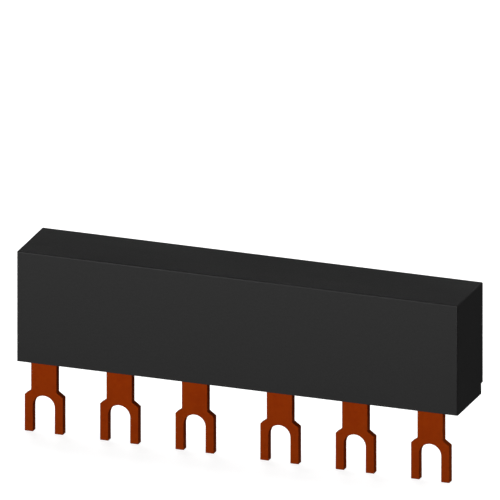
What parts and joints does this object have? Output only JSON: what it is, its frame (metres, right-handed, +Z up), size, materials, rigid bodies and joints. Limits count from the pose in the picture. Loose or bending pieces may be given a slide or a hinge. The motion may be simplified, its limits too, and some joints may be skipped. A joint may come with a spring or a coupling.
{
  "type": "comb busbar",
  "caption": "Insulated comb busbar whose copper fork tags link the phases of motor-protection devices mounted side by side.",
  "frame": {"origin": "the middle of the first fork's screw slot, in the middle of the copper's thickness", "axes": "+X along the row of forks, +Y from the front to the back, +Z up from the forks to the housing"},
  "size_m": [0.0842, 0.0134, 0.0346],
  "materials": {
    "black_plastic": "moulded, fine satin texture",
    "copper": "bare rolled copper, punched edges",
    "insulation": "natural moulded insulation"
  },
  "bodies": {
    "root": {"cover": "black_plastic", "base": "black_plastic", "phase_bar_front": "copper", "phase_bar_middle": "copper", "phase_bar_rear": "copper", "separator_front": "insulation", "separator_rear": "insulation"}
  },
  "joints": []
}
